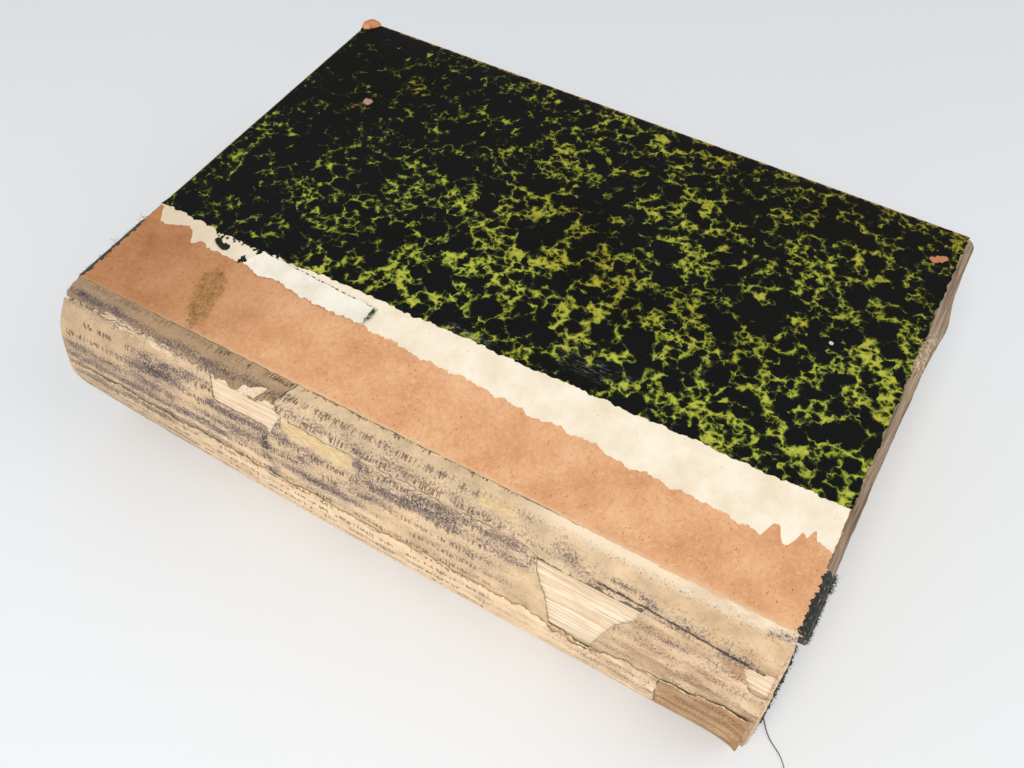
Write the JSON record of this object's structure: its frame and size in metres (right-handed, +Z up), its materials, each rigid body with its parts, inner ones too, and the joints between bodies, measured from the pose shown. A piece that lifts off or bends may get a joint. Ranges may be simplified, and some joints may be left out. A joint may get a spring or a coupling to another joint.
{
  "type": "hardback book",
  "caption": "Worn quarter-bound hardback book with opening covers, torn spine linings and black and yellow-green marbled sides.",
  "frame": {"origin": "on the resting plane, under the middle of the closed book's bounding box", "axes": "+X from the spine to the fore-edge, +Y from the tail to the head, +Z up through the thickness, front cover on top"},
  "size_m": [0.1481, 0.2026, 0.0512],
  "materials": {
    "page_paper": "matt, aged cream, with fine page lines",
    "endpaper": "matt, aged",
    "lining_paper": "matt tan waste paper, abraded and dirty",
    "brown_paper": "matt, fibrous, flecked",
    "white_paper": "matt, torn",
    "marbled_paper": "satin, black clouds on yellow-green veins",
    "spine_cloth": "dark green-black book cloth, frayed",
    "board": "matt, layered, worn at the edges"
  },
  "bodies": {
    "block": {"text_block": "page_paper", "front_flyleaf": "endpaper", "rear_flyleaf": "endpaper", "lining_upper_head": "lining_paper", "lining_upper_tail": "lining_paper", "lining_main": "lining_paper", "lining_lower": "lining_paper", "lining_tail": "lining_paper", "spine_cloth_head": "spine_cloth", "spine_cloth_tail": "spine_cloth"},
    "front_cover": {"front_board": "board", "front_brown_paper": "brown_paper", "front_white_paper": "white_paper", "front_white_flap": "white_paper", "front_side_paper": "marbled_paper", "front_cloth_head": "spine_cloth", "front_cloth_tail": "spine_cloth", "front_pastedown": "endpaper"},
    "rear_cover": {"rear_board": "board", "rear_quarter_cloth": "spine_cloth", "rear_side_paper": "marbled_paper", "rear_pastedown": "endpaper"}
  },
  "joints": [
    {"name": "front_hinge", "type": "hinge", "parent": "block", "child": "front_cover", "pos_m": [-0.06025, 0, 0.0502], "axis": [0, -1, 0], "range_deg": [0, 180]},
    {"name": "rear_hinge", "type": "hinge", "parent": "block", "child": "rear_cover", "pos_m": [-0.06025, 0, 0], "axis": [0, 1, 0], "range_deg": [0, 180]}
  ]
}
